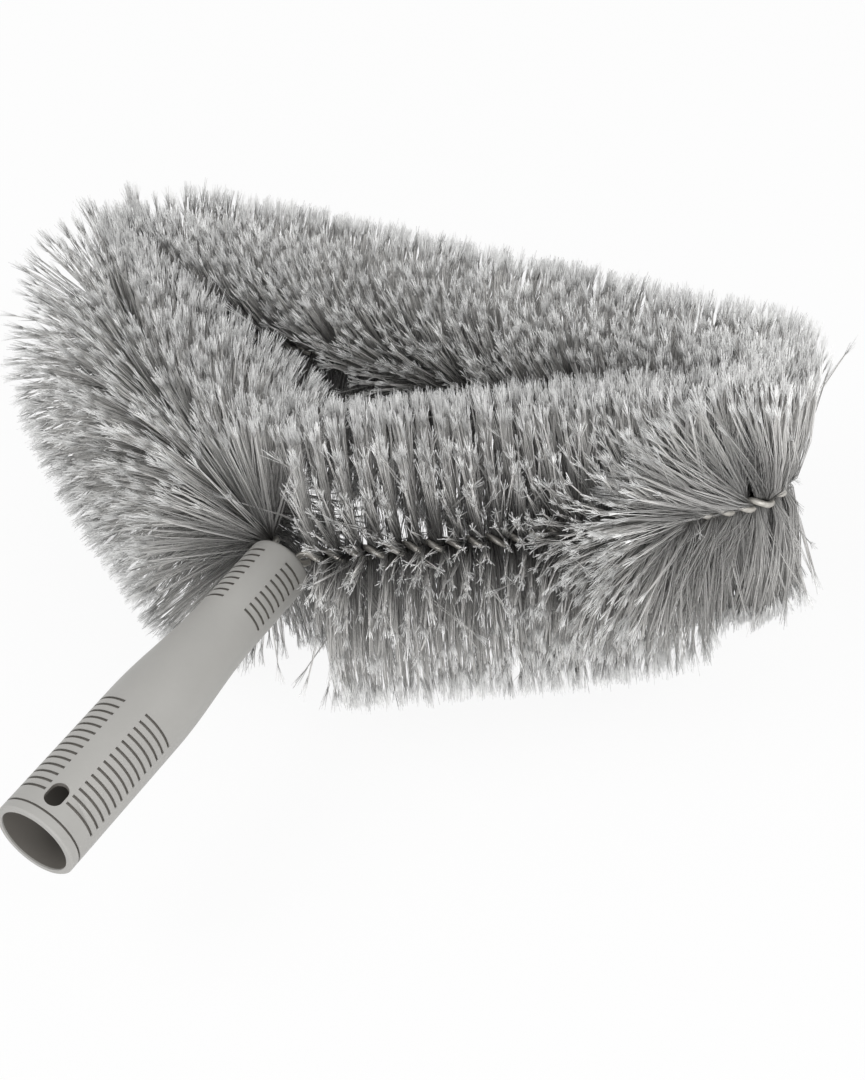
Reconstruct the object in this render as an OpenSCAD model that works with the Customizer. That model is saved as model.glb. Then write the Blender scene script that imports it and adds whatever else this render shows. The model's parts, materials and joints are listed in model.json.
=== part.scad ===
// Cobweb brush: a twisted-in-wire brush bent into a closed triangle on a moulded pole socket.
// The origin is the centre of the socket's open mouth. +Y runs from the mouth to the brush,
// +X to the right corner of the loop, and +Z stands square to the loop. Sizes are in millimetres.

/* [Pole socket] */
// Diameter of the pole that the socket takes
pole_d = 24; // [20:0.5:30]
// Play between the pole and its bore, on the diameter
pole_play = 0.2; // [0.1:0.05:0.6]
// Depth that the pole goes in
pole_depth = 58; // [45:1:64]
// Wall of the grip round the pole
grip_wall = 2.1; // [1.8:0.1:3.5]
// Length of the straight grip
grip_len = 55; // [50:1:62]
// Length of the smooth taper between grip and neck
taper_len = 45; // [34:1:50]
// Length of the straight neck
neck_len = 33; // [32:1:48]
// Outer diameter of the neck
neck_d = 23; // [22.5:0.5:28]
// Wall of the neck
neck_wall = 2.5; // [1.8:0.1:2.7]
// Diameter that the pole stops against
pole_stop_d = 20; // [18.5:0.5:22]
// Thickness of the wall that closes the neck
end_wall = 4; // [2.5:0.5:6]
// Rounding of the neck's end edge
end_round = 2; // [1:0.5:3]
// Chamfer of the mouth's outer edge
mouth_chamfer = 0.6; // [0.3:0.1:0.9]

/* [Grooves and slot] */
// Distance of the ring groove from the mouth
ring_place = 3.7; // [2.5:0.1:4.5]
// Width of the ring groove
ring_w = 0.8; // [0.5:0.1:1.2]
// Distance between neighbouring grip grooves
groove_pitch = 3; // [2:0.25:3.25]
// Width of a grip groove
groove_w = 1; // [0.6:0.1:1.4]
// Depth of the grooves
groove_depth = 0.7; // [0.4:0.1:1.1]
// First groove of the grip, from the mouth
grip_groove_start = 10; // [8:0.5:14]
// Grooves in one column of the grip
grip_grooves = 14; // [6:1:14]
// Arc that a grip groove spans, in degrees
grip_groove_arc = 58; // [40:1:62]
// First groove of the neck, from the taper's end
neck_groove_start = 3; // [2:0.5:6]
// Grooves in one column of the neck
neck_grooves = 9; // [4:1:9]
// Arc that a neck groove spans, in degrees
neck_groove_arc = 47; // [30:1:62]
// Turn of the plain band with the slot, from straight up, in degrees
band_turn = 20; // [0:1:45]
// Middle of the slot, from the mouth
slot_place = 10.2; // [9.5:0.1:16]
// Length of the slot along the socket
slot_len = 8.5; // [7:0.5:10]
// Width of the slot
slot_w = 6; // [4:0.25:6.5]

/* [Stem] */
// Diameter of one of the two wires
wire_d = 2.3; // [1.8:0.1:2.6]
// Gap between the wires, which the filaments fill
wire_gap = 0.9; // [0.8:0.05:1.2]
// Length of one full turn of the twist
twist_pitch = 14; // [12:0.5:18]
// Distance between the two stems in the neck
stem_spacing = 7.2; // [6.8:0.1:8]
// Length of the stem beyond the neck before it bends outwards
exit_rise = 5; // [4:0.5:10]
// Bend radius where a stem leaves the neck
exit_bend_r = 10; // [8:1:14]
// Bend radius of the two far corners
corner_bend_r = 12; // [10:1:20]
// Sideways reach of the right corner, before its rounding
right_corner_x = 163; // [145:1:185]
// Reach of the right corner beyond the socket, before its rounding
right_corner_y = 114; // [100:1:130]
// Sideways reach of the left corner, before its rounding
left_corner_x = 160; // [145:1:185]
// Reach of the left corner beyond the socket, before its rounding
left_corner_y = 105; // [95:1:125]
// Outward bow of each arm
arm_bow = 5; // [0:0.5:8]
// Radius of the bowed stretch of each arm
bow_r = 500; // [300:10:700]
// Length of the wires' tails behind the plug
tail_len = 6; // [4:0.5:8]
// Distance that the tails are spread
tail_spread = 2.2; // [1:0.1:3]

/* [Stem plug] */
// Play between the plug and the neck, on the diameter
plug_play = 0.2; // [0.1:0.05:0.6]
// Play round each stem in the plug and in the end wall, on the diameter
stem_play = 0.5; // [0.3:0.1:0.9]
// Length of the plug
plug_len = 24; // [16:1:26]
// Chamfer of the plug's rear edge
plug_chamfer = 1; // [0.5:0.1:1.5]

/* [Bristles] */
// Length of the bristles from the stem's middle
bristle_len = 55; // [45:1:65]
// Amount by which bristle lengths vary
bristle_vary = 4; // [0:0.5:8]
// One root in this many along the filament pack carries no strand
bare_root_every = 4; // [3:1:16]
// Radius of a strand at its root
root_r = 0.6; // [0.4:0.05:0.7]
// Radius of a strand at its split tip
tip_r = 1.1; // [0.7:0.05:1.3]
// Width of the filament pack between the wires
pack_w = 4.8; // [4.4:0.1:5.4]
// Thickness of the filament pack between the wires
pack_t = 0.4; // [0.3:0.05:0.5]
// Turns of bare stem at each end
bare_turns = 3; // [3:1:4]
// Outward reach of the parted bristles at the right corner
parting_reach = 9; // [6:1:20]
// Depth of the flat on the tips that the brush stands on
rest_flat = 0.5; // [0.3:0.1:1]

/* [Hidden] */
ARM_SECTIONS = 5;
BEND_SECTIONS = 2;
FAR_SECTIONS = 7;
RIGHT_ARM = [for (i = [1 : ARM_SECTIONS]) str("bristles_right_arm_", i)];
RIGHT_BEND = [for (i = [1 : BEND_SECTIONS]) str("bristles_right_bend_", i)];
FAR_SIDE = [for (i = [1 : FAR_SECTIONS]) str("bristles_far_side_", i)];
LEFT_BEND = [for (i = [1 : BEND_SECTIONS]) str("bristles_left_bend_", i)];
LEFT_ARM = [for (i = [1 : ARM_SECTIONS]) str("bristles_left_arm_", i)];
SECTIONS = concat(RIGHT_ARM, RIGHT_BEND, FAR_SIDE, LEFT_BEND, LEFT_ARM);

// Socket
bore_r = (pole_d + pole_play) / 2;
grip_r = bore_r + grip_wall;
neck_r = neck_d / 2;
neck_start = grip_len + taper_len;
socket_len = neck_start + neck_len;
cavity_r = neck_r - neck_wall;
cavity_end = socket_len - end_wall;
taper_steps = 14;
cut_past = 1;
curve_fn = 96;
columns = 4;
column_step = 360 / columns;
band_angle = band_turn - 90;

// Twisted pair
wire_r = wire_d / 2;
lay_r = wire_r + wire_gap / 2;
stem_r = lay_r + wire_r;
stem_hole_r = stem_r + stem_play / 2;
stem_x = stem_spacing / 2;
plug_start = cavity_end - plug_len;
tail_start = plug_start - tail_len;
wire_sides = 6;
rings_per_turn = 6;
odd_rings = 11;
pack_angle = 90;

// Bristles
knee_r = stem_r + root_r;
root_share = 0.6;
points_a_strand = 6;
section_gap = 0.15;
cell_share = 0.86;
parting_slope = 2.2;
length_seed = 7;
rest_z = rest_flat - bristle_len;

// Corners of the stem's route, in the loop's plane, and the bend radius at each
exit_y = socket_len + exit_rise;
right_exit = [stem_x, exit_y];
left_exit = [-stem_x, exit_y];
right_corner = [right_corner_x, socket_len + right_corner_y];
left_corner = [-left_corner_x, socket_len + left_corner_y];
ROUTE = [
    [stem_x, tail_start],
    right_exit,
    bowed(right_exit, right_corner),
    right_corner,
    left_corner,
    bowed(left_corner, left_exit),
    left_exit,
    [-stem_x, tail_start]
];
BEND_R = [0, exit_bend_r, bow_r, corner_bend_r, corner_bend_r, bow_r, exit_bend_r, 0];

function unit(v) = v / norm(v);
function bowed(a, b) = (a + b) / 2 + arm_bow * [unit(b - a)[1], -unit(b - a)[0]];
function heading_of(v) = atan2(v[1], v[0]);
function wrap(a) = a > 180 ? a - 360 : a < -180 ? a + 360 : a;
function total(list, i = 0) = i < len(list) ? list[i] + total(list, i + 1) : 0;

// The route as runs of [start, heading, length, signed radius], where radius 0 is straight
HEADINGS = [for (i = [0 : len(ROUTE) - 2]) heading_of(ROUTE[i + 1] - ROUTE[i])];
TURNS = [for (i = [0 : len(ROUTE) - 1])
    i == 0 || i == len(ROUTE) - 1 ? 0 : wrap(HEADINGS[i] - HEADINGS[i - 1])];
TRIMS = [for (i = [0 : len(ROUTE) - 1]) BEND_R[i] * tan(abs(TURNS[i]) / 2)];
RUNS = [for (i = [0 : len(HEADINGS) - 1]) each [
    straight_run(i),
    if (i < len(HEADINGS) - 1) bend_run(i + 1)
]];
ENDS = [for (i = [0 : len(RUNS) - 1]) total([for (k = [0 : i]) RUNS[k][2]])];
stem_len = ENDS[len(ENDS) - 1];

function along(a, d) = d * [cos(a), sin(a)];
function straight_run(i) = [
    ROUTE[i] + along(HEADINGS[i], TRIMS[i]),
    HEADINGS[i],
    norm(ROUTE[i + 1] - ROUTE[i]) - TRIMS[i] - TRIMS[i + 1],
    0
];
function bend_run(i) = [
    ROUTE[i] - along(HEADINGS[i - 1], TRIMS[i]),
    HEADINGS[i - 1],
    abs(TURNS[i]) * PI / 180 * BEND_R[i],
    sign(TURNS[i]) * BEND_R[i]
];

// Place and heading of the stem's middle at a distance along it
function stem(s, i = 0) =
    s <= ENDS[i] || i == len(ENDS) - 1
        ? on_run(RUNS[i], s - ENDS[i] + RUNS[i][2])
        : stem(s, i + 1);
function on_run(run, d) =
    run[3] == 0
        ? [run[0] + along(run[1], d), run[1]]
        : on_bend(run[0], run[1], run[3], d / run[3] * 180 / PI);
function on_bend(start, h, r, turn) =
    [start + r * [sin(h + turn) - sin(h), cos(h) - cos(h + turn)], h + turn];

// Twist: a whole even number of turns, so that both ends lie alike in the plug
turns = 2 * round(stem_len / twist_pitch / 2);
lay_pitch = stem_len / turns;
ring_count = turns * rings_per_turn + odd_rings;
function twist(s) = 360 * s / lay_pitch;
function tail(s) = max(0, 1 - min(s, stem_len - s) / tail_len);
function spread_r(s) = lay_r + tail_spread * tail(s) * tail(s);

// Directions about the stem: 0 is up, 90 is out of the loop, 180 is down and 270 is into it
function spoke(h, a) = [sin(a) * sin(h), -sin(a) * cos(h), cos(a)];
function ahead(h) = [cos(h), sin(h), 0];
function raised(p) = [p[0], p[1], 0];

// One ring of a wire, square to the wire's own slope
function wire_ring(s, phase) =
    let (at = stem(s), a = twist(s) + phase, r = spread_r(s))
    let (slope = 2 * PI * r / lay_pitch)
    let (course = unit(ahead(at[1]) + slope * spoke(at[1], a + 90)))
    let (up = unit([0, 0, 1] - course[2] * course), across = cross(course, up))
    let (middle = raised(at[0]) + r * spoke(at[1], a))
    [for (i = [0 : wire_sides - 1])
        middle + wire_r * (cos(360 * i / wire_sides) * up + sin(360 * i / wire_sides) * across)];

// One ring of the flat filament pack, which turns with the wires and lies between them
function pack_ring(s) =
    let (at = stem(s), a = twist(s) + pack_angle)
    let (wide = pack_w / 2 * spoke(at[1], a), thick = pack_t / 2 * spoke(at[1], a + 90))
    [for (c = [[1, 1], [-1, 1], [-1, -1], [1, -1]]) raised(at[0]) + c[0] * wide + c[1] * thick];

// Triangles that join rings of n points into a closed tube
function ring_points(k, n) = [for (i = [0 : n - 1]) k * n + i];
function near_cap(n) = [for (i = [1 : n - 2]) [0, i, i + 1]];
function far_cap(k, n) = [for (i = [1 : n - 2]) [k * n, k * n + i + 1, k * n + i]];
function tube_faces(rings, n) = concat(
    near_cap(n),
    [for (k = [0 : rings - 2]) each sleeve(ring_points(k, n), ring_points(k + 1, n))],
    far_cap(rings - 1, n)
);

// Triangles between two rings of a tube, each ring a list of point numbers
function sleeve(a, b) = [for (i = [0 : len(a) - 1]) each [
    [a[i], b[i], b[(i + 1) % len(a)]],
    [a[i], b[(i + 1) % len(a)], a[(i + 1) % len(a)]]
]];

// Triangles of the pack, whose two broad faces fold along the same diagonals and so never meet
function pack_sleeve(a, b) = [for (face = sleeve(a, b)) if (face[0] != a[FOLDED_SIDE]) face];
function folded(a, b) = let (i = FOLDED_SIDE)
    [[a[i], b[i], a[i + 1]], [b[i], b[i + 1], a[i + 1]]];
function pack_tube(rings) = concat(
    near_cap(pack_corners),
    [for (k = [0 : rings - 2])
        let (a = ring_points(k, pack_corners), b = ring_points(k + 1, pack_corners))
        each concat(pack_sleeve(a, b), folded(a, b))],
    far_cap(rings - 1, pack_corners)
);

// Distance into the loop that a strand may reach without meeting those of another side
function to_corner(p, i) =
    let (inner = 180 - abs(wrap(loop_heading(i) - loop_heading(i - 1))))
    norm(p - LOOP[i]) * tan(inner / 2);
LOOP = [[0, exit_y], right_corner, left_corner];
function loop_heading(i) = heading_of(LOOP[(i + 1) % 3] - LOOP[(i + 3) % 3]);
function reach_in(p) = cell_share * min([for (i = [0 : 2]) to_corner(p, i)]);

// Distance out of the loop, which is small where the bristles part at the right corner
RIGHT_BEND_RUN = 5;
parting_middle = ENDS[RIGHT_BEND_RUN] - RUNS[RIGHT_BEND_RUN][2] / 2;
parting_half = RUNS[RIGHT_BEND_RUN][2] / 2;
function reach_out(s) =
    parting_reach + parting_slope * max(0, abs(s - parting_middle) - parting_half);

// Angle of a strand whose sideways reach is limited
function leant(a, side_limit_in, side_limit_out) =
    let (out = max(-side_limit_in, min(sin(a), side_limit_out)))
    cos(a) >= 0 ? asin(out) : 180 - asin(out);

// Stretch of stem that carries bristles, and the share of it that one section takes
bristle_start = ceil(bare_turns * ring_count / turns);
bristle_rings = ring_count - 2 * bristle_start;
function ring_at(k) = k * stem_len / ring_count;
function section_ring(i) = bristle_start + floor(i * bristle_rings / len(SECTIONS));
function pack_places(first, last) = concat(
    [ring_at(first) + section_gap],
    [for (k = [first + 1 : last - 1]) ring_at(k)],
    [ring_at(last) - section_gap]
);

// A root is a triangle of the pack's thin edge: [interval, edge], numbered along the whole stem
PACK_EDGES = [1, 3];
pack_corners = 4;
FOLDED_SIDE = 2;
function root_number(k, edge) = 2 * k + (edge - 1) / 2;
function carries(k, edge) = root_number(k, edge) % bare_root_every != bare_root_every - 1;
function edge_turn(edge) = edge == 1 ? 180 : 0;
LENGTH_DROP = rands(0, bristle_vary, 2 * ring_count, length_seed);

// Two rings of a strand, clear of the wires and at the tip, for a root between two places
function strand_rings(from, to, number, edge) =
    let (s = from + root_share * (to - from), at = stem(s), middle = raised(at[0]))
    let (a = twist(s) + pack_angle + edge_turn(edge))
    let (free = bristle_len - LENGTH_DROP[number] * abs(sin(a)) - knee_r)
    let (inward = max(0, reach_in(at[0]) - knee_r) / free, outward = reach_out(s) / free)
    let (b = leant(a, min(1, inward), min(1, outward)))
    let (knee = middle + knee_r * spoke(at[1], a), tip = knee + free * spoke(at[1], b))
    concat(
        strand_ring(knee, at[1], (a + nearest(b, a)) / 2, root_r),
        [for (p = strand_ring(tip, at[1], b, tip_r)) [p[0], p[1], max(p[2], rest_z)]]
    );
function nearest(b, a) = b + 360 * round((a - b) / 360);
ROOT_SLANT = atan2(pack_w * sin(180 * turns / ring_count), ring_at(1));
function strand_ring(p, h, a, r) =
    [for (q = [180, 60, -60]) let (turned = q + ROOT_SLANT)
        p + r * (cos(turned) * ahead(h) + sin(turned) * spoke(h, a + 90))];

// Faces of the pack, open where a strand grows from it, and of a strand from its root triangle
function pack_point(k, i) = k * pack_corners + i % pack_corners;
function root_triangle(k, edge) = [pack_point(k, edge), pack_point(k + 1, edge + 1), pack_point(k + 1, edge)];
function same_face(a, b) = a[0] == b[0] && a[1] == b[2] && a[2] == b[1];
function strand_faces(root, base) =
    let (knee = [base, base + 1, base + 2], tip = [base + 3, base + 4, base + 5])
    concat(sleeve(root, knee), sleeve(knee, tip), [[tip[0], tip[2], tip[1]]]);

// Turns the socket's axis from upright to along +Y
module along_y() {
    rotate([-90, 0, 0])
        children();
}

// Half outline of the socket, with its radius across and its height from the mouth
module socket_outline() {
    polygon(concat(
        [
            [bore_r, 0],
            [grip_r - mouth_chamfer, 0],
            [grip_r, mouth_chamfer]
        ],
        [for (i = [0 : taper_steps])
            [
                neck_r + (grip_r - neck_r) * (1 + cos(180 * i / taper_steps)) / 2,
                grip_len + taper_len * i / taper_steps
            ]],
        [for (a = [0 : 15 : 90])
            [neck_r - end_round * (1 - cos(a)), socket_len - end_round * (1 - sin(a))]],
        [
            [0, socket_len],
            [0, cavity_end],
            [cavity_r, cavity_end],
            [cavity_r, neck_start],
            [pole_stop_d / 2, pole_depth],
            [bore_r, pole_depth]
        ]
    ));
}

// One groove over an arc of the outside, its middle at angle 0
module groove(height, radius, width, arc) {
    rotate([0, 0, -arc / 2])
        rotate_extrude(angle = arc, $fn = curve_fn)
            translate([radius - groove_depth, height - width / 2])
                square([groove_depth + cut_past, width]);
}

// Columns of grooves, with plain bands between them
module groove_columns(start, count, radius, arc) {
    for (c = [0 : columns - 1], i = [0 : count - 1])
        rotate([0, 0, band_angle + (c + 0.5) * column_step])
            groove(start + i * groove_pitch, radius, groove_w, arc);
}

// Slot through the wall, in the middle of a plain band
module slot() {
    reach = grip_r + cut_past;
    half = (slot_len - slot_w) / 2;
    rotate([0, 0, band_angle]) {
        for (end = [-1, 1])
            translate([0, 0, slot_place + end * half])
                rotate([0, 90, 0])
                    cylinder(d = slot_w, h = reach, $fn = curve_fn);
        translate([0, -slot_w / 2, slot_place - half])
            cube([reach, slot_w, 2 * half]);
    }
}

// Two round holes side by side for the stems, from one height to another
module stem_holes(from, to) {
    for (side = [-1, 1])
        translate([side * stem_x, 0, from])
            cylinder(r = stem_hole_r, h = to - from, $fn = curve_fn);
}

module socket() {
    color([0.73, 0.72, 0.69])
        along_y()
            difference() {
                rotate_extrude($fn = curve_fn)
                    socket_outline();
                stem_holes(cavity_end - cut_past, socket_len + cut_past);
                slot();
                groove_columns(grip_groove_start, grip_grooves, grip_r, grip_groove_arc);
                groove_columns(neck_start + neck_groove_start, neck_grooves, neck_r, neck_groove_arc);
                rotate_extrude($fn = curve_fn)
                    translate([grip_r - groove_depth, ring_place - ring_w / 2])
                        square([groove_depth + cut_past, ring_w]);
            }
}

module stem_plug() {
    plug_r = cavity_r - plug_play / 2;
    color([0.55, 0.54, 0.52])
        along_y()
            difference() {
                rotate_extrude($fn = curve_fn)
                    polygon([
                        [0, plug_start],
                        [plug_r - plug_chamfer, plug_start],
                        [plug_r, plug_start + plug_chamfer],
                        [plug_r, cavity_end],
                        [0, cavity_end]
                    ]);
                stem_holes(plug_start - cut_past, cavity_end + cut_past);
            }
}

module wire(phase) {
    color([0.62, 0.61, 0.58])
        polyhedron(
            points = [for (k = [0 : ring_count]) each wire_ring(ring_at(k), phase)],
            faces = tube_faces(ring_count + 1, wire_sides)
        );
}

// One section of bristles: a slice of the filament pack with strands grown from its thin edges
module bristles(section) {
    first = section_ring(section);
    places = pack_places(first, section_ring(section + 1));
    roots = [for (k = [0 : len(places) - 2], edge = PACK_EDGES)
        if (carries(first + k, edge)) [k, edge]];
    triangles = [for (root = roots) root_triangle(root[0], root[1])];
    pack_faces = [for (face = pack_tube(len(places)))
        if (len([for (t = triangles) if (same_face(face, t)) t]) == 0) face];
    pack_points = [for (s = places) each pack_ring(s)];
    strand_points = [for (root = roots)
        each strand_rings(
            places[root[0]],
            places[root[0] + 1],
            root_number(first + root[0], root[1]),
            root[1]
        )];
    strand_part = [for (m = [0 : len(roots) - 1])
        each strand_faces(triangles[m], len(pack_points) + m * points_a_strand)];
    color([0.5, 0.5, 0.49])
        polyhedron(points = concat(pack_points, strand_points), faces = concat(pack_faces, strand_part));
}

socket();
stem_plug();
wire(0);  // wire_a
wire(180);  // wire_b
for (i = [0 : len(SECTIONS) - 1]) {
    bristles(i);
}
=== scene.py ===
"""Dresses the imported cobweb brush: split filaments on a twisted stem, in a moulded pole socket."""

import json
import logging
import math
from dataclasses import dataclass, field
from enum import Enum

import bmesh
import bpy
import numpy as np
from mathutils import Matrix, Vector

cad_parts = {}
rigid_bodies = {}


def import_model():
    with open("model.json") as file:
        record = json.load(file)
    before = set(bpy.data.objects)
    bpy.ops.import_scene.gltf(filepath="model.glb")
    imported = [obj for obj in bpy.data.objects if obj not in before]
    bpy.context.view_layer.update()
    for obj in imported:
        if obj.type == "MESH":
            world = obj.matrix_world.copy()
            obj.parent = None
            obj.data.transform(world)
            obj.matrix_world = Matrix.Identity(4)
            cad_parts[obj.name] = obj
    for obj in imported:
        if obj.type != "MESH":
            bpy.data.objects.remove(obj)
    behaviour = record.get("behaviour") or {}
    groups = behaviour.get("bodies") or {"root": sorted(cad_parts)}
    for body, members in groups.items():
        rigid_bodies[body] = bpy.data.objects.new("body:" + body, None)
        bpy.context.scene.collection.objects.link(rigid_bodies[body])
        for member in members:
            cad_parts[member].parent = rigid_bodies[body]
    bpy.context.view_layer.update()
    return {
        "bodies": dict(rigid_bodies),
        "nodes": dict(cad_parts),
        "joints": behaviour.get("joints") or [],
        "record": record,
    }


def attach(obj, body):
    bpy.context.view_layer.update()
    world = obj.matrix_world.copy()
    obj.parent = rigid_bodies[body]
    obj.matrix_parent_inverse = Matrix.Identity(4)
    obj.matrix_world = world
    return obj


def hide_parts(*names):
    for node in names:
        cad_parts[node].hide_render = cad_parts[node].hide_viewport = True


Colour = tuple[float, float, float]

LOG = logging.getLogger("cobweb_brush")
MM = 0.001
TINY = 1e-6
BODY = "root"
RIGHT_BEND_RUN = 5
LEFT_BEND_RUN = 7
MIX_SHARE, MIX_FIRST, MIX_SECOND, MIX_RESULT = 0, 6, 7, 2


class Stretch(Enum):
    """Stretches of the stem, in the order in which the stem runs, with their section counts."""

    RIGHT_ARM = ("right_arm", 5)
    RIGHT_BEND = ("right_bend", 2)
    FAR_SIDE = ("far_side", 7)
    LEFT_BEND = ("left_bend", 2)
    LEFT_ARM = ("left_arm", 5)

    def sections(self) -> list[str]:
        """Returns the names of the sections on this stretch."""
        name, count = self.value
        return [f"{name}_{number + 1}" for number in range(count)]


def all_sections() -> list[str]:
    """Returns the names of all the sections, in the order in which the stem runs."""
    return [section for stretch in Stretch for section in stretch.sections()]


def new_material(name: str) -> tuple[bpy.types.Material, bpy.types.NodeTree, bpy.types.Node]:
    """Starts a node material.

    Args:
        name: The name of the material.

    Returns:
        The material, its node tree and its shader node.
    """
    material = bpy.data.materials.new(name)
    material.use_nodes = True
    tree = material.node_tree
    return material, tree, tree.nodes["Principled BSDF"]


def scaled(colour: Colour, factor: float) -> Colour:
    """Returns a colour made lighter or darker."""
    return tuple(min(1.0, part * factor) for part in colour)


def feed(tree: bpy.types.NodeTree, value: object, into: bpy.types.NodeSocket) -> None:
    """Feeds an input of a node.

    Args:
        tree: The node tree.
        value: The output to link to the input, or the number or colour to set on it.
        into: The input.
    """
    if isinstance(value, bpy.types.NodeSocket):
        tree.links.new(value, into)
    else:
        into.default_value = value


def add_math(tree: bpy.types.NodeTree, operation: str, first: object, second: object,
             clamped: bool = False) -> bpy.types.NodeSocket:
    """Adds a Math node.

    Args:
        tree: The node tree.
        operation: What the node works out.
        first: The output or number for its first input.
        second: The output or number for its second input.
        clamped: Whether the result is kept between 0 and 1.

    Returns:
        The output with the result.
    """
    node = tree.nodes.new("ShaderNodeMath")
    node.operation = operation
    node.use_clamp = clamped
    feed(tree, first, node.inputs[0])
    feed(tree, second, node.inputs[1])
    return node.outputs[0]


def add_product(tree: bpy.types.NodeTree, first: object, second: object,
                share: object) -> bpy.types.NodeSocket:
    """Multiplies one colour by another.

    Args:
        tree: The node tree.
        first: The output with the first colour.
        second: The output or the four numbers of the second colour.
        share: How much of the product shows, as an output or a number.

    Returns:
        The output with the result.
    """
    mix = tree.nodes.new("ShaderNodeMix")
    mix.data_type = "RGBA"
    mix.blend_type = "MULTIPLY"
    for place, value in ((MIX_SHARE, share), (MIX_FIRST, first), (MIX_SECOND, second)):
        feed(tree, value, mix.inputs[place])
    return mix.outputs[MIX_RESULT]


def add_noise(tree: bpy.types.NodeTree, place: bpy.types.NodeSocket, scale: float,
              detail: float) -> bpy.types.NodeSocket:
    """Adds a noise texture.

    Args:
        tree: The node tree.
        place: The output with the place on the object.
        scale: The scale of the noise.
        detail: Its detail.

    Returns:
        The output with its strength.
    """
    noise = tree.nodes.new("ShaderNodeTexNoise")
    noise.inputs["Scale"].default_value = scale
    noise.inputs["Detail"].default_value = detail
    tree.links.new(place, noise.inputs["Vector"])
    return noise.outputs["Fac"]


def add_attribute(tree: bpy.types.NodeTree, name: str) -> bpy.types.NodeSocket:
    """Adds a node that reads a number from the piece's own mesh.

    Args:
        tree: The node tree.
        name: The name of the mesh attribute.

    Returns:
        The output with the number.
    """
    node = tree.nodes.new("ShaderNodeAttribute")
    node.attribute_name = name
    return node.outputs["Fac"]


def add_ramp(tree: bpy.types.NodeTree, value: bpy.types.NodeSocket,
             stops: list[tuple[float, Colour]]) -> bpy.types.NodeSocket:
    """Adds a colour ramp.

    Args:
        tree: The node tree.
        value: The output that picks the place on the ramp.
        stops: The place and colour of each stop, from low to high.

    Returns:
        The output with the colour.
    """
    ramp = tree.nodes.new("ShaderNodeValToRGB")
    elements = ramp.color_ramp.elements
    while len(elements) < len(stops):
        elements.new(0.5)
    for element, (place, colour) in zip(elements, stops):
        element.position = place
        element.color = (*colour, 1.0)
    tree.links.new(value, ramp.inputs["Fac"])
    return ramp.outputs["Color"]


def add_bump(tree: bpy.types.NodeTree, height: bpy.types.NodeSocket, strength: float,
             distance: float) -> bpy.types.NodeSocket:
    """Adds a bump.

    Args:
        tree: The node tree.
        height: The output with the height of the bump.
        strength: The strength of the bump.
        distance: Its full height, in metres.

    Returns:
        The output with the normal.
    """
    bump = tree.nodes.new("ShaderNodeBump")
    bump.inputs["Strength"].default_value = strength
    bump.inputs["Distance"].default_value = distance
    tree.links.new(height, bump.inputs["Height"])
    return bump.outputs["Normal"]


@dataclass(frozen=True)
class Recess:
    """A stretch of the socket on which all that lies within a radius is shaded, in metres."""

    start: float
    end: float
    radius: float

    def mask(self, tree: bpy.types.NodeTree, along: bpy.types.NodeSocket,
             out: bpy.types.NodeSocket) -> bpy.types.NodeSocket:
        """Finds whether a place is in the recess.

        Args:
            tree: The node tree of the material.
            along: The output with the distance along the socket.
            out: The output with the distance from the socket's middle line.

        Returns:
            The output that is 1 in the recess and 0 outside it.
        """
        past_start = add_math(tree, "GREATER_THAN", along, self.start)
        before_end = add_math(tree, "LESS_THAN", along, self.end)
        inside = add_math(tree, "LESS_THAN", out, self.radius)
        return add_math(tree, "MULTIPLY", add_math(tree, "MULTIPLY", past_start, before_end), inside)


@dataclass(frozen=True)
class Plastic:
    """Matt moulded plastic with a fine even texture, and painted shade in its recesses where any are given.
    """

    name: str
    colour: Colour
    roughness: float = 0.5
    cloud_scale: float = 45.0
    cloud_detail: float = 3.0
    cloud_shades: tuple[tuple[float, float], ...] = ((0.3, 0.965), (0.7, 1.03))
    grain_scale: float = 1800.0
    grain_detail: float = 2.0
    grain_strength: float = 0.05
    grain_height: float = 0.0002
    recesses: tuple[Recess, ...] = ()
    # The colour that the recesses are multiplied by, as painted shade.
    painted_shade_colour: Colour = (0.36, 0.34, 0.32)

    def make(self) -> bpy.types.Material:
        """Makes the finish.

        Returns:
            The material.
        """
        material, tree, shader = new_material(self.name)
        place = tree.nodes.new("ShaderNodeTexCoord").outputs["Object"]
        cloud = add_noise(tree, place, self.cloud_scale, self.cloud_detail)
        stops = [(stop, scaled(self.colour, shade)) for stop, shade in self.cloud_shades]
        # Painted shade darkens the grooves and the bore.
        colour = self.paint_recess_shade(tree, place, add_ramp(tree, cloud, stops))
        grain = add_noise(tree, place, self.grain_scale, self.grain_detail)
        normal = add_bump(tree, grain, self.grain_strength, self.grain_height)
        tree.links.new(colour, shader.inputs["Base Color"])
        tree.links.new(normal, shader.inputs["Normal"])
        shader.inputs["Roughness"].default_value = self.roughness
        return material

    def paint_recess_shade(self, tree: bpy.types.NodeTree, place: bpy.types.NodeSocket,
               unshaded: bpy.types.NodeSocket) -> bpy.types.NodeSocket:
        """Paints shade into the grooves and the bore by darkening their colour.

        Args:
            tree: The node tree of the material.
            place: The output with the place on the object.
            unshaded: The output with the colour before the painted shade.

        Returns:
            The output with the colour darkened by painted shade.
        """
        if not self.recesses:
            return unshaded
        split = tree.nodes.new("ShaderNodeSeparateXYZ")
        across = tree.nodes.new("ShaderNodeCombineXYZ")
        out = tree.nodes.new("ShaderNodeVectorMath")
        out.operation = "LENGTH"
        tree.links.new(place, split.inputs[0])
        for axis in ("X", "Z"):
            tree.links.new(split.outputs[axis], across.inputs[axis])
        tree.links.new(across.outputs[0], out.inputs[0])
        masks = [recess.mask(tree, split.outputs["Y"], out.outputs["Value"]) for recess in self.recesses]
        shaded = masks[0]
        for mask in masks[1:]:
            shaded = add_math(tree, "MAXIMUM", shaded, mask)
        # The recesses are multiplied by the shade colour: painted shade.
        return add_product(tree, unshaded, (*self.painted_shade_colour, 1), shaded)


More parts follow.
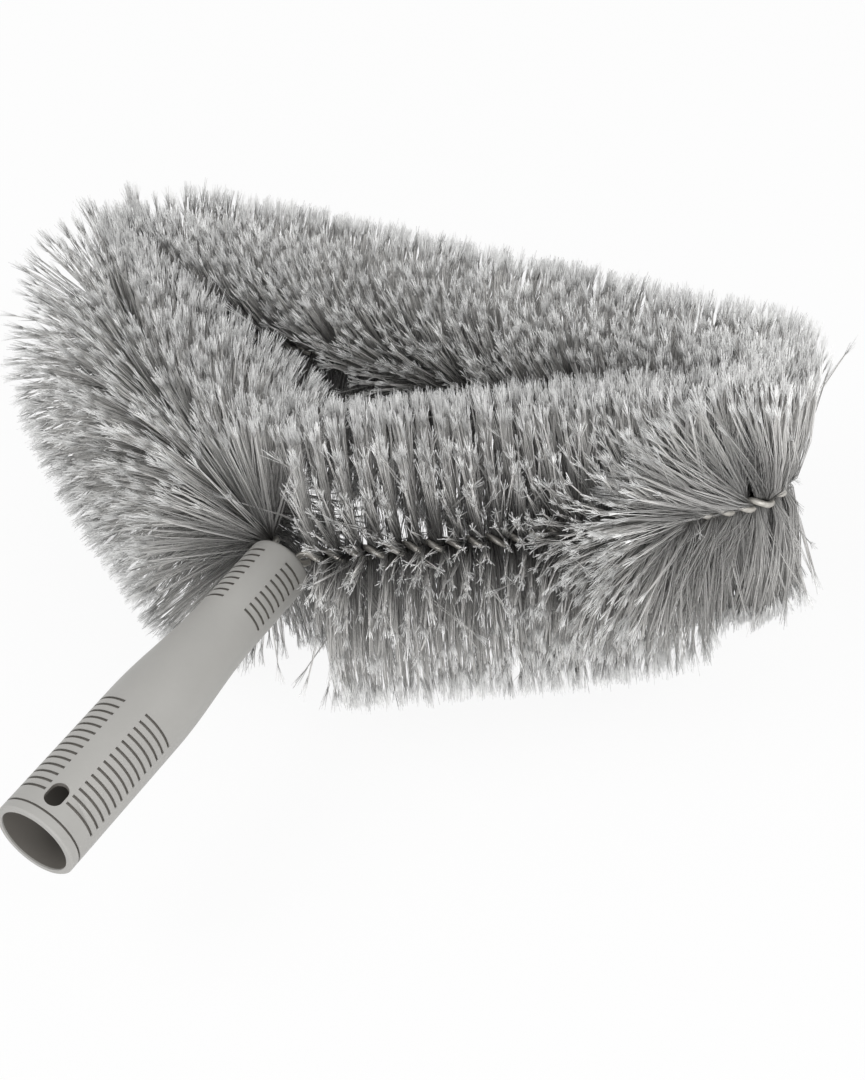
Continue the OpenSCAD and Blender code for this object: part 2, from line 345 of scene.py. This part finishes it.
@dataclass(frozen=True)
class DrawnWire:
    """Dull galvanised wire, with faint drawing marks."""

    name: str = "stem_wire_finish"
    colour: Colour = (0.50, 0.48, 0.44)
    metallic: float = 0.45
    roughness: float = 0.38
    mark_scale: float = 600.0
    mark_detail: float = 4.0
    mark_shades: tuple[tuple[float, float], ...] = ((0.25, 0.8), (0.75, 1.12))
    mark_strength: float = 0.1
    mark_height: float = 0.0001

    def make(self) -> bpy.types.Material:
        """Makes the finish.

        Returns:
            The material.
        """
        material, tree, shader = new_material(self.name)
        place = tree.nodes.new("ShaderNodeTexCoord").outputs["Object"]
        marks = add_noise(tree, place, self.mark_scale, self.mark_detail)
        stops = [(stop, scaled(self.colour, shade)) for stop, shade in self.mark_shades]
        normal = add_bump(tree, marks, self.mark_strength, self.mark_height)
        tree.links.new(add_ramp(tree, marks, stops), shader.inputs["Base Color"])
        tree.links.new(normal, shader.inputs["Normal"])
        shader.inputs["Metallic"].default_value = self.metallic
        shader.inputs["Roughness"].default_value = self.roughness
        return material


@dataclass(frozen=True)
class FlaggedFilament:
    """Grey synthetic filament that turns pale where its tip is split."""

    name: str = "filament_finish"
    # root, and the shaft darkened by shade up to shade_end, are painted shade among the roots by the stem.
    root: Colour = (0.20, 0.197, 0.191)
    shaft: Colour = (0.47, 0.463, 0.45)
    tip: Colour = (0.74, 0.73, 0.71)
    flag: Colour = (0.97, 0.97, 0.96)
    shade_end: float = 0.12
    shade: float = 0.7
    shaft_middle: float = 0.5
    tip_start: float = 0.86
    flag_start: float = 0.9
    darkest: float = 0.42
    lightest: float = 1.2
    roughness: float = 0.45

    def make(self) -> bpy.types.Material:
        """Makes the finish, from painted shade among the roots by the stem to pale at the flags.

        Returns:
            The material.
        """
        material, tree, shader = new_material(self.name)
        # The ramp starts with painted shade at the roots, where the stem and the packed bundles shade the
        # filaments.
        colour = add_ramp(tree, add_attribute(tree, "along"), [
            (0.0, self.root),
            (self.shade_end, scaled(self.shaft, self.shade)),
            (self.shaft_middle, self.shaft),
            (self.tip_start, self.tip),
            (self.flag_start, self.flag),
        ])
        tone = add_ramp(tree, add_attribute(tree, "tone"), [
            (0.0, (self.darkest,) * 3),
            (1.0, (self.lightest,) * 3),
        ])
        tree.links.new(add_product(tree, colour, tone, 1.0), shader.inputs["Base Color"])
        shader.inputs["Roughness"].default_value = self.roughness
        return material


@dataclass
class PoleSocket:
    """The pole socket and its stem plug, which keep their CAD shapes."""

    socket_colour: Colour = (0.362, 0.355, 0.338)
    plug_colour: Colour = (0.30, 0.29, 0.275)
    # The grip and neck stretches whose grooves and bore get painted shade.
    grip_recess: Recess = Recess(0.0006, 0.0565, 0.01385)
    neck_recess: Recess = Recess(0.0995, 0.1305, 0.01128)

    def dress(self, frame: dict) -> None:
        """Gives both CAD nodes their finish.

        Args:
            frame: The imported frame.
        """
        recesses = (self.grip_recess, self.neck_recess)
        finishes = {
            "socket": Plastic("socket_finish", self.socket_colour, recesses=recesses),
            "stem_plug": Plastic("plug_finish", self.plug_colour),
        }
        for node, finish in finishes.items():
            material = finish.make()
            for slot in frame["nodes"][node].material_slots:
                slot.material = material
            LOG.info("%s: dressed with %s", node, finish.name)


@dataclass(frozen=True)
class Run:
    """One straight or curved run of the stem, in millimetres and radians."""

    start: np.ndarray
    heading: float
    length: float
    radius: float

    def at(self, distance: float) -> tuple[np.ndarray, float]:
        """Finds a place on the run.

        Args:
            distance: The distance from the start of the run.

        Returns:
            The point in the plane of the loop, and the heading there.
        """
        h = self.heading
        if self.radius == 0:
            return self.start + distance * np.array([math.cos(h), math.sin(h)]), h
        end = h + distance / self.radius
        arc = np.array([math.sin(end) - math.sin(h), math.cos(h) - math.cos(end)])
        return self.start + self.radius * arc, end


@dataclass(frozen=True)
class Parting:
    """How far strands may lean out of the loop: little between two places, more away from them."""

    least: float
    start: float
    end: float
    per_mm_before: float
    per_mm_after: float

    def limit(self, s: float) -> float:
        """Finds the limit at a place along the stem.

        Args:
            s: The place along the stem.

        Returns:
            The widest angle from upright, at most a quarter turn.
        """
        opening = self.per_mm_before * max(0.0, self.start - s) + self.per_mm_after * max(0.0, s - self.end)
        return math.radians(min(90.0, self.least + opening))


@dataclass
class StemRoute:
    """The route of the stem, from its tail in the plug round the loop and back, in millimetres."""

    tail_start: float = 99.0
    stem_x: float = 3.6
    exit_y: float = 138.0
    right_corner: tuple[float, float] = (163.0, 247.0)
    left_corner: tuple[float, float] = (-160.0, 238.0)
    arm_bow: float = 5.0
    bend_radii: tuple[float, ...] = (0, 10, 500, 12, 12, 500, 10, 0)
    turns: int = 50
    rings_per_turn: int = 6
    bare_turns: int = 3
    odd_rings: int = 11
    inner_share: float = 0.86
    parting_up: Parting = Parting(15.0, 188.0, 218.0, 4.5, 4.0)
    parting_down: Parting = Parting(2.0, 188.0, 222.0, 4.5, 4.0)
    runs: list[Run] = field(default_factory=list)
    ends: list[float] = field(default_factory=list)

    def __post_init__(self) -> None:
        """Lays out the straight runs between the corners and the bends through them."""
        right_exit = np.array([self.stem_x, self.exit_y])
        left_exit = np.array([-self.stem_x, self.exit_y])
        right, left = np.array(self.right_corner), np.array(self.left_corner)
        corners = [
            np.array([self.stem_x, self.tail_start]), right_exit, self.bowed(right_exit, right), right,
            left, self.bowed(left, left_exit), left_exit, np.array([-self.stem_x, self.tail_start]),
        ]
        headings = [math.atan2(*(b - a)[::-1]) for a, b in zip(corners, corners[1:])]
        turns = [0.0] + [self.wrapped(b - a) for a, b in zip(headings, headings[1:])] + [0.0]
        trims = [r * math.tan(abs(turn) / 2) for r, turn in zip(self.bend_radii, turns)]
        for i, heading in enumerate(headings):
            way = np.array([math.cos(heading), math.sin(heading)])
            start = corners[i] + trims[i] * way
            end = corners[i + 1] - trims[i + 1] * way
            self.runs.append(Run(start, heading, float(np.linalg.norm(end - start)), 0.0))
            if i + 1 < len(headings):
                turn = turns[i + 1]
                radius = math.copysign(self.bend_radii[i + 1], turn)
                self.runs.append(Run(end, heading, abs(turn) * self.bend_radii[i + 1], radius))
        self.ends = list(np.cumsum([run.length for run in self.runs]))

    def bowed(self, a: np.ndarray, b: np.ndarray) -> np.ndarray:
        """Returns the middle of an arm, set outwards by its bow."""
        way = (b - a) / np.linalg.norm(b - a)
        return (a + b) / 2 + self.arm_bow * np.array([way[1], -way[0]])

    @staticmethod
    def wrapped(angle: float) -> float:
        """Returns an angle between minus and plus half a turn."""
        return (angle + math.pi) % (2 * math.pi) - math.pi

    @property
    def length(self) -> float:
        """Length of the whole stem."""
        return self.ends[-1]

    @property
    def pitch(self) -> float:
        """Length of one turn of the twist."""
        return self.length / self.turns

    def at(self, s: float) -> tuple[np.ndarray, float]:
        """Finds a place on the stem.

        Args:
            s: The place along the stem.

        Returns:
            The point in the plane of the loop, and the heading there.
        """
        i = min(int(np.searchsorted(self.ends, s)), len(self.runs) - 1)
        before = self.ends[i] - self.runs[i].length
        return self.runs[i].at(s - before)

    def twist(self, s: float) -> float:
        """Returns the angle of the twist at a place along the stem."""
        return 2 * math.pi * s / self.pitch

    @staticmethod
    def spoke(heading: float, angle: float) -> np.ndarray:
        """Finds a direction square to the stem.

        Args:
            heading: The heading of the stem.
            angle: The turn about the stem: up at 0, out of the loop at a quarter turn.

        Returns:
            The direction, one long.
        """
        return np.array([
            math.sin(angle) * math.sin(heading), -math.sin(angle) * math.cos(heading), math.cos(angle),
        ])

    def section_span(self, index: int, count: int) -> tuple[float, float]:
        """Finds where a section of bristles lies.

        Args:
            index: The number of the section along the stem.
            count: How many sections there are.

        Returns:
            The places along the stem at which it begins and ends.
        """
        rings = self.turns * self.rings_per_turn + self.odd_rings
        first = math.ceil(self.bare_turns * rings / self.turns)
        bristled = rings - 2 * first
        places = [(first + i * bristled // count) * self.length / rings for i in (index, index + 1)]
        return places[0], places[1]

    def inner_reach(self, point: np.ndarray) -> float:
        """Finds how far a strand may reach into the loop before it meets another side.

        Args:
            point: The point on the stem from which the strand starts.

        Returns:
            The length, in millimetres.
        """
        loop = [np.array([0, self.exit_y]), np.array(self.right_corner), np.array(self.left_corner)]
        reaches = []
        for i in range(3):
            ahead, behind = loop[(i + 1) % 3] - loop[i], loop[(i + 2) % 3] - loop[i]
            cosine = ahead @ behind / np.linalg.norm(ahead) / np.linalg.norm(behind)
            reaches.append(np.linalg.norm(point - loop[i]) * math.tan(math.acos(cosine) / 2))
        return self.inner_share * min(reaches)

    def nearness(self, run: int, s: float, fade: float) -> float:
        """Finds how near a place is to one run of the stem.

        Args:
            run: The number of the run.
            s: The place along the stem.
            fade: The distance past either end of the run over which the effect fades.

        Returns:
            1 on the run itself, down to 0 at the end of the fade.
        """
        return max(0.0, 1 - max(0.0, self.ends[run - 1] - s, s - self.ends[run]) / fade)

    def outer_limit(self, s: float, upward: bool) -> float:
        """Returns how far from upright a strand may lean out, little at the parted right bend."""
        return (self.parting_up if upward else self.parting_down).limit(s)


@dataclass
class TubeBundle:
    """Many fine tubes that become one mesh, each from its points, radii and shades."""

    sides: int = 3
    paths: list[np.ndarray] = field(default_factory=list)
    radii: list[np.ndarray] = field(default_factory=list)
    along: list[np.ndarray] = field(default_factory=list)
    tone: list[np.ndarray] = field(default_factory=list)

    def add(self, path: np.ndarray, radii: np.ndarray, along: np.ndarray, tone: float) -> None:
        """Adds one tube.

        Args:
            path: The points of its middle line, in millimetres.
            radii: The radius at each point, in millimetres.
            along: How far each point lies from root to tip, from 0 to 1.
            tone: The lightness of the tube, from 0 to 1.
        """
        self.paths.append(path)
        self.radii.append(radii)
        self.along.append(along)
        self.tone.append(np.full(len(path), tone))

    def profile(self) -> bpy.types.Object:
        """Draws the outline that is swept along each tube.

        Returns:
            The outline, as a closed curve of radius 1.
        """
        outline = bpy.data.curves.new("tube_outline", "CURVE")
        outline.dimensions = "2D"
        ring = outline.splines.new("POLY")
        ring.points.add(self.sides - 1)
        for i in range(self.sides):
            angle = -2 * math.pi * i / self.sides
            ring.points[i].co = (math.cos(angle), math.sin(angle), 0, 1)
        ring.use_cyclic_u = True
        return bpy.data.objects.new("tube_outline", outline)

    def mesh(self, name: str) -> bpy.types.Object:
        """Sweeps the tubes, closes their ends and joins them into one piece.

        Args:
            name: The name of the piece.

        Returns:
            The mesh object, in metres.
        """
        outline = self.profile()
        curve = bpy.data.curves.new(f"{name}_lines", "CURVE")
        curve.dimensions = "3D"
        curve.bevel_mode = "OBJECT"
        curve.bevel_object = outline
        for path, radii in zip(self.paths, self.radii):
            spline = curve.splines.new("POLY")
            spline.points.add(len(path) - 1)
            spline.points.foreach_set("co", np.column_stack([path * MM, np.ones(len(path))]).ravel())
            spline.points.foreach_set("radius", radii * MM)
        lines = bpy.data.objects.new(f"{name}_lines", curve)
        for helper in (outline, lines):
            bpy.context.scene.collection.objects.link(helper)
        graph = bpy.context.evaluated_depsgraph_get()
        mesh = bpy.data.meshes.new_from_object(lines.evaluated_get(graph))
        for helper in (outline, lines):
            bpy.data.objects.remove(helper)
        self.close(mesh)
        for label, values in (("along", self.along), ("tone", self.tone)):
            attribute = mesh.attributes.new(label, "FLOAT", "POINT")
            attribute.data.foreach_set("value", np.repeat(np.concatenate(values), self.sides))
        mesh.name = name
        piece = bpy.data.objects.new(name, mesh)
        bpy.context.scene.collection.objects.link(piece)
        return piece

    @staticmethod
    def close(mesh: bpy.types.Mesh) -> None:
        """Closes the open ends of the tubes and shades them smooth.

        Args:
            mesh: The mesh of the swept tubes.
        """
        shape = bmesh.new()
        shape.from_mesh(mesh)
        rims = [edge for edge in shape.edges if edge.is_boundary]
        bmesh.ops.edgeloop_fill(shape, edges=rims)
        bmesh.ops.recalc_face_normals(shape, faces=shape.faces)
        for face in shape.faces:
            face.smooth = True
        shape.to_mesh(mesh)
        shape.free()


@dataclass
class TwistedStem:
    """The two wires, twisted together round the filaments."""

    route: StemRoute
    lay_radius: float = 1.6
    wire_radius: float = 1.15
    tail_length: float = 6.0
    tail_spread: float = 2.2
    sides: int = 10
    rings_per_turn: int = 24
    tone: float = 0.5

    def build(self) -> list[bpy.types.Object]:
        """Returns both wires, which start on opposite sides of the stem."""
        finish = DrawnWire().make()
        wires = (("twisted_wire_a", "wire_a", 0.0), ("twisted_wire_b", "wire_b", math.pi))
        return [self.wire(name, node, phase, finish) for name, node, phase in wires]

    def wire(self, name: str, node: str, phase: float, finish: bpy.types.Material) -> bpy.types.Object:
        """Builds one wire.

        Args:
            name: The name of the piece.
            node: The CAD node that it stands for.
            phase: The angle at which the wire starts.
            finish: The material of the wire.

        Returns:
            The piece.
        """
        count = self.route.turns * self.rings_per_turn
        places = np.linspace(0, self.route.length, count + 1)
        path = np.array([self.middle(s, phase) for s in places])
        bundle = TubeBundle(sides=self.sides)
        bundle.add(path, np.full(len(path), self.wire_radius), places / self.route.length, self.tone)
        piece = bundle.mesh(name)
        piece.data.materials.append(finish)
        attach(piece, BODY)
        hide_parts(node)
        return piece

    def middle(self, s: float, phase: float) -> np.ndarray:
        """Finds the middle of a wire, which spreads from the other one at its tails.

        Args:
            s: The place along the stem.
            phase: The angle at which the wire starts.

        Returns:
            The point, in millimetres.
        """
        point, heading = self.route.at(s)
        tail = max(0.0, 1 - min(s, self.route.length - s) / self.tail_length)
        radius = self.lay_radius + self.tail_spread * tail * tail
        return np.array([*point, 0]) + radius * self.route.spoke(heading, self.route.twist(s) + phase)


@dataclass(frozen=True)
class Tuft:
    """One bundle of filaments, on a curve from the wires by its knee to its tip, in millimetres."""

    root: np.ndarray
    knee: np.ndarray
    tip: np.ndarray
    ahead: np.ndarray
    split: float
    tone: float

    def curve(self, t: np.ndarray) -> np.ndarray:
        """Returns the points at shares of the way from root to tip."""
        t = t[:, None]
        return (1 - t) ** 2 * self.root + 2 * t * (1 - t) * self.knee + t * t * self.tip


@dataclass
class BristleSections:
    """The filaments, gripped in bundles between the wires, with pale split tips."""

    route: StemRoute
    seed: int = 20
    # The bundles: how many, how long and how even they are.
    bundles_per_mm: float = 18.0
    length: float = 55.5
    length_ragged: float = 1.3
    shorter_sideways: float = 2.0
    angle_jitter: float = math.radians(12)
    lean_jitter: float = math.radians(1.8)
    stray_share: float = 0.07
    stray_angle: float = math.radians(16)
    knee_place: float = 0.25
    knee_turned: float = 0.4
    # The bounds that they keep to.
    rest_plane: float = -54.4
    widest: float = 154.0
    outer_ragged: tuple[float, float] = (0.9, 1.1)
    cap_ragged: tuple[float, float] = (0.8, 1.15)
    cap_slack: float = 1.25
    # The filaments of a bundle, loose in the middle and joined near the tip.
    filaments_least: int = 3
    filaments_most: int = 4
    filament_radius: float = 0.125
    root_spread: float = 0.8
    loose_places: tuple[float, ...] = (0.0, 0.3, 0.65)
    looseness: tuple[float, ...] = (0.25, 1.0, 0.75, 0.15)
    join_place: float = 0.3
    join_shade: float = 0.92
    # The flag at the tip, split into fine hairs.
    flag_length: float = 5.6
    flag_spread: float = 0.8
    flag_shades: tuple[float, float] = (0.9, 1.0)
    hairs: int = 9
    hair_radius: float = 0.1
    hair_taper: float = 0.7
    hair_root_spread: float = 0.12
    hair_starts: tuple[float, float] = (0.0, 0.25)
    hair_ends: tuple[float, float] = (0.72, 1.02)
    # The lightness of the bundles and of each filament.
    tone: float = 0.5
    tone_spread: float = 0.22
    tone_jitter: float = 0.24
    # The bundles swept back before the right bend, and the fuller fan round it, made lighter with painted
    # light.
    swept_back: float = math.radians(60)
    swept_length: float = 80.0
    swept_jitter: float = math.radians(6)
    swept_angle: float = math.radians(72)
    swept_power: float = 1.5
    corner_fade: float = 16.0
    corner_fuller: float = 0.25
    corner_painted_light: float = 0.16
    # The thin fan outside the left bend.
    fan_fade: float = 26.0
    fan_thinned: float = 0.66
    fan_shorter: float = 4.0
    # The few bundles that point down close to the socket.
    socket_fade: float = 30.0
    socket_thinned: float = 0.55
    from_socket: float = math.radians(16)

    def build(self) -> list[bpy.types.Object]:
        """Builds all the filaments.

        Returns:
            The pieces, one for each section.
        """
        finish = FlaggedFilament().make()
        names = all_sections()
        return [self.section(i, name, len(names), finish) for i, name in enumerate(names)]

    def section(self, index: int, name: str, count: int, finish: bpy.types.Material) -> bpy.types.Object:
        """Builds the filaments of one section.

        Args:
            index: The number of the section along the stem.
            name: The name of the section.
            count: How many sections there are.
            finish: The material of the filaments.

        Returns:
            The piece.
        """
        chance = np.random.default_rng([self.seed, index])
        start, end = self.route.section_span(index, count)
        most = 1 + self.corner_fuller
        bundle = TubeBundle()
        for _ in range(round((end - start) * self.bundles_per_mm * most)):
            s = chance.uniform(start, end)
            if chance.random() * most <= 1 + self.corner_fuller * self.corner(s):
                self.grip(bundle, chance, s)
        piece = bundle.mesh(f"filaments_{name}")
        piece.data.materials.append(finish)
        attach(piece, BODY)
        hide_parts(f"bristles_{name}")
        return piece

    def corner(self, s: float) -> float:
        """Returns how near a place is to the right bend, from 0 to 1."""
        return self.route.nearness(RIGHT_BEND_RUN, s, self.corner_fade)

    def under_socket(self, s: float, angle: float) -> float:
        """Returns how much a bundle points down close to the socket, from 0 to 1."""
        return max(0.0, 1 - (s - self.route.ends[0]) / self.socket_fade) * max(0.0, -math.cos(angle))

    def grip(self, bundle: TubeBundle, chance: np.random.Generator, s: float) -> None:
        """Grips a bundle between the wires, and leaves it out where the brush is thin.

        Args:
            bundle: The tubes of the section.
            chance: The source of the small differences.
            s: The place along the stem.
        """
        stray = chance.random() < self.stray_share
        angle = self.route.twist(s) + math.pi / 2 + math.pi * chance.integers(0, 2)
        angle += chance.normal(0, self.stray_angle if stray else self.angle_jitter)
        fan = self.route.nearness(LEFT_BEND_RUN, s, self.fan_fade) * max(0.0, math.sin(angle))
        thinned = self.fan_thinned * fan + self.socket_thinned * self.under_socket(s, angle)
        if chance.random() > thinned:
            tuft = self.tuft(chance, s, angle, self.stray_angle if stray else 0.0, fan)
            for _ in range(int(chance.integers(self.filaments_least, self.filaments_most + 1))):
                self.filament(bundle, chance, tuft)
            self.flag(bundle, chance, tuft)

    def direction(self, s: float, angle: float, chance: np.random.Generator) -> float:
        """Finds the angle that a bundle takes once its sideways reach is limited.

        Args:
            s: The place along the stem.
            angle: The angle at which the bundle leaves the wires.
            chance: The source of the small differences.

        Returns:
            The angle of the bundle's tip.
        """
        upward = math.cos(angle) >= 0
        side = math.asin(max(-1.0, min(1.0, math.sin(angle))))
        if side > 0:
            limit = self.route.outer_limit(s, upward) * chance.uniform(*self.outer_ragged)
        else:
            point, _ = self.route.at(s)
            slack = self.cap_slack * chance.uniform(*self.cap_ragged)
            limit = math.asin(min(1.0, self.route.inner_reach(point) * slack / self.length))
        side *= min(1.0, limit / (math.pi / 2))
        return side if upward else math.pi - side

    def lean(self, s: float, angle: float, chance: np.random.Generator) -> float:
        """Finds how far a bundle leans along the stem, strongly back before the right bend.

        Args:
            s: The place along the stem.
            angle: The angle at which the bundle leaves the wires.
            chance: The source of the small differences.

        Returns:
            The lean, forwards along the stem where it is positive.
        """
        near = self.route.nearness(RIGHT_BEND_RUN, s, self.swept_length)
        lean = chance.normal(0, self.lean_jitter + self.swept_jitter * near)
        if s < self.route.ends[RIGHT_BEND_RUN - 1]:
            facing = max(0.0, math.cos(angle - self.swept_angle)) ** self.swept_power
            lean -= self.swept_back * near * facing
        return lean + self.from_socket * self.under_socket(s, angle)

    def tuft(self, chance: np.random.Generator, s: float, angle: float, stray: float, fan: float) -> Tuft:
        """Lays out one bundle of filaments.

        Args:
            chance: The source of the small differences.
            s: The place along the stem.
            angle: The angle at which the bundle leaves the wires.
            stray: How far a bundle out of line may lean, or 0.
            fan: How much it belongs to the thin fan outside the left bend, from 0 to 1.

        Returns:
            The bundle.
        """
        point, heading = self.route.at(s)
        root = np.array([*point, 0.0])
        tip_angle = self.direction(s, angle, chance)
        lean = self.lean(s, angle, chance) + chance.normal(0, 1) * stray
        ahead = np.array([math.cos(heading), math.sin(heading), 0.0])
        way = math.cos(lean) * self.route.spoke(heading, tip_angle) + math.sin(lean) * ahead
        length = self.length - self.shorter_sideways * abs(math.sin(tip_angle))
        length -= abs(chance.normal(0, self.length_ragged + self.fan_shorter * fan))
        if root[0] + length * way[0] > self.widest:
            length = (self.widest - root[0]) / way[0]
        straight = (1 - self.knee_turned) * self.route.spoke(heading, angle)
        knee = root + self.knee_place * length * (straight + self.knee_turned * way)
        tip = root + length * way
        tip[2] = max(tip[2], self.rest_plane)
        # Painted light: bundles round the right bend are given a lighter tone.
        middle_tone = self.tone + self.corner_painted_light * self.corner(s)
        tone = float(np.clip(chance.normal(middle_tone, self.tone_spread), 0, 1))
        return Tuft(root, knee, tip, ahead, 1 - self.flag_length / length, tone)

    def filament(self, bundle: TubeBundle, chance: np.random.Generator, tuft: Tuft) -> None:
        """Adds one filament, which joins its neighbours near the tip.

        Args:
            bundle: The tubes of the section.
            chance: The source of the small differences.
            tuft: The bundle that it belongs to.
        """
        t = np.array([*self.loose_places, tuft.split + self.join_place * (1 - tuft.split)])
        path = tuft.curve(t)
        apart = chance.normal(0, self.root_spread) * tuft.ahead
        side = np.cross(tuft.tip - tuft.root, tuft.ahead)
        side *= chance.normal(0, self.root_spread) / max(TINY, float(np.linalg.norm(side)))
        path = path + np.array(self.looseness)[:, None] * (apart + side)
        path[:, 2] = np.maximum(path[:, 2], self.rest_plane)
        tone = float(np.clip(tuft.tone + chance.normal(0, self.tone_jitter), 0, 1))
        t[-1] *= self.join_shade
        bundle.add(path, np.full(len(t), self.filament_radius), t, tone)

    def flag(self, bundle: TubeBundle, chance: np.random.Generator, tuft: Tuft) -> None:
        """Adds the split tip of a bundle.

        Args:
            bundle: The tubes of the section.
            chance: The source of the small differences.
            tuft: The bundle that it belongs to.
        """
        start, end = tuft.curve(np.array([tuft.split, 1.0]))
        drift = chance.normal(0, self.flag_spread, (self.hairs, 3))
        begin = chance.uniform(*self.hair_starts, (self.hairs, 1))
        reach = chance.uniform(*self.hair_ends, (self.hairs, 1))
        heads = start + begin * (end - start) + self.hair_root_spread * drift
        feet = start + reach * (end - start) + drift
        feet[:, 2] = np.maximum(feet[:, 2], self.rest_plane)
        radii = np.array([1.0, self.hair_taper]) * self.hair_radius
        for hair in np.stack([heads, feet], axis=1):
            bundle.add(hair, radii, np.array(self.flag_shades), tuft.tone)


@dataclass(frozen=True)
class Lamp:
    """A soft square lamp: its name, its place and side in metres, and its power in watts."""

    name: str
    place: tuple[float, float, float]
    side: float
    power: float

    def hang(self, aim: tuple[float, float, float]) -> None:
        """Hangs the lamp.

        Args:
            aim: The point that it faces.
        """
        data = bpy.data.lights.new(self.name, "AREA")
        data.size = self.side
        data.energy = self.power
        lamp = bpy.data.objects.new(self.name, data)
        way = Vector(aim) - Vector(self.place)
        lamp.rotation_euler = way.to_track_quat("-Z", "Y").to_euler()
        lamp.location = self.place
        bpy.context.scene.collection.objects.link(lamp)


@dataclass
class Studio:
    """Plain pale floor, soft light and the camera of the photograph, in metres."""

    place: tuple[float, float, float] = (0.33982, -0.23338, 0.44016)
    right: tuple[float, float, float] = (0.8519, 0.5108, -0.1155)
    down: tuple[float, float, float] = (0.2693, -0.6164, -0.7399)
    lens: float = 65.0
    sensor_width: float = 36.0
    clip_start: float = 0.01
    floor_height: float = -0.0545
    floor_size: float = 4.0
    floor_colour: Colour = (0.8, 0.8, 0.8)
    floor_roughness: float = 0.9
    floor_white: float = 0.92
    world_light: float = 0.62
    aim: tuple[float, float, float] = (0.0, 0.15, 0.0)
    lamps: tuple[Lamp, ...] = (
        Lamp("key_lamp", (-0.9, -0.5, 1.3), 1.0, 10),
        Lamp("fill_lamp", (1.2, 0.2, 1.0), 1.2, 6),
        Lamp("front_lamp", (0.9, -0.8, 0.16), 0.9, 10),
    )

    def build(self) -> None:
        """Sets up the whole studio."""
        self.camera()
        self.floor()
        self.world()
        for lamp in self.lamps:
            lamp.hang(self.aim)

    def camera(self) -> None:
        """Sets the camera."""
        right, down = Vector(self.right).normalized(), Vector(self.down)
        down = (down - down.dot(right) * right).normalized()
        ahead = right.cross(down)
        data = bpy.data.cameras.new("camera")
        data.lens = self.lens
        data.sensor_width = self.sensor_width
        data.clip_start = self.clip_start
        camera = bpy.data.objects.new("camera", data)
        turn = Matrix((right, -down, -ahead)).transposed().to_4x4()
        camera.matrix_world = Matrix.Translation(self.place) @ turn
        bpy.context.scene.collection.objects.link(camera)
        bpy.context.scene.camera = camera

    @staticmethod
    def backdrop_mix(tree: bpy.types.NodeTree) -> bpy.types.NodeSocket:
        """Tells which rays see the backdrop.

        Args:
            tree: The node tree of the floor or the world.

        Returns:
            The output that is 1 for rays from the camera, a reflection or glass.
        """
        rays = tree.nodes.new("ShaderNodeLightPath").outputs
        seen = add_math(tree, "ADD", rays["Is Camera Ray"], rays["Is Glossy Ray"], clamped=True)
        return add_math(tree, "ADD", seen, rays["Is Transmission Ray"], clamped=True)

    def floor(self) -> None:
        """Lays the pale floor, which keeps a faint shadow."""
        shape = bmesh.new()
        bmesh.ops.create_grid(shape, x_segments=1, y_segments=1, size=self.floor_size)
        bmesh.ops.translate(shape, verts=shape.verts, vec=(0, 0, self.floor_height))
        mesh = bpy.data.meshes.new("floor")
        shape.to_mesh(mesh)
        shape.free()
        mesh.materials.append(self.floor_finish())
        floor = bpy.data.objects.new("floor", mesh)
        bpy.context.scene.collection.objects.link(floor)

    def floor_finish(self) -> bpy.types.Material:
        """Makes the finish of the floor, nearly white where it is seen.

        Returns:
            The material.
        """
        material, tree, shader = new_material("floor_finish")
        shader.inputs["Base Color"].default_value = (*self.floor_colour, 1)
        shader.inputs["Roughness"].default_value = self.floor_roughness
        glow = tree.nodes.new("ShaderNodeEmission")
        glow.inputs["Color"].default_value = (1, 1, 1, 1)
        glow.inputs["Strength"].default_value = 1.0
        share = add_math(tree, "MULTIPLY", self.backdrop_mix(tree), self.floor_white)
        self.blend(tree, share, shader, glow, tree.nodes["Material Output"])
        return material

    def world(self) -> None:
        """Sets even light from all around, white where the backdrop is seen."""
        world = bpy.data.worlds.new("studio")
        world.use_nodes = True
        bpy.context.scene.world = world
        tree = world.node_tree
        light, white = tree.nodes["Background"], tree.nodes.new("ShaderNodeBackground")
        for node, strength in ((light, self.world_light), (white, 1.0)):
            node.inputs["Color"].default_value = (1, 1, 1, 1)
            node.inputs["Strength"].default_value = strength
        self.blend(tree, self.backdrop_mix(tree), light, white, tree.nodes["World Output"])

    @staticmethod
    def blend(tree: bpy.types.NodeTree, share: bpy.types.NodeSocket, first: bpy.types.Node,
              second: bpy.types.Node, output: bpy.types.Node) -> None:
        """Blends two shaders into an output.

        Args:
            tree: The node tree.
            share: The output with the share of the second shader.
            first: The first shader.
            second: The second shader.
            output: The node that takes the blend.
        """
        mix = tree.nodes.new("ShaderNodeMixShader")
        for place, value in enumerate((share, first.outputs[0], second.outputs[0])):
            tree.links.new(value, mix.inputs[place])
        tree.links.new(mix.outputs[0], output.inputs["Surface"])


def main() -> None:
    """Builds and dresses the brush."""
    logging.basicConfig(level=logging.INFO, format="%(message)s")
    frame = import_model()
    bpy.context.scene.view_settings.view_transform = "Standard"
    PoleSocket().dress(frame)
    route = StemRoute()
    for piece in TwistedStem(route).build() + BristleSections(route).build():
        LOG.info("%s: %d faces", piece.name, len(piece.data.polygons))
    Studio().build()


if __name__ == "__main__":
    main()
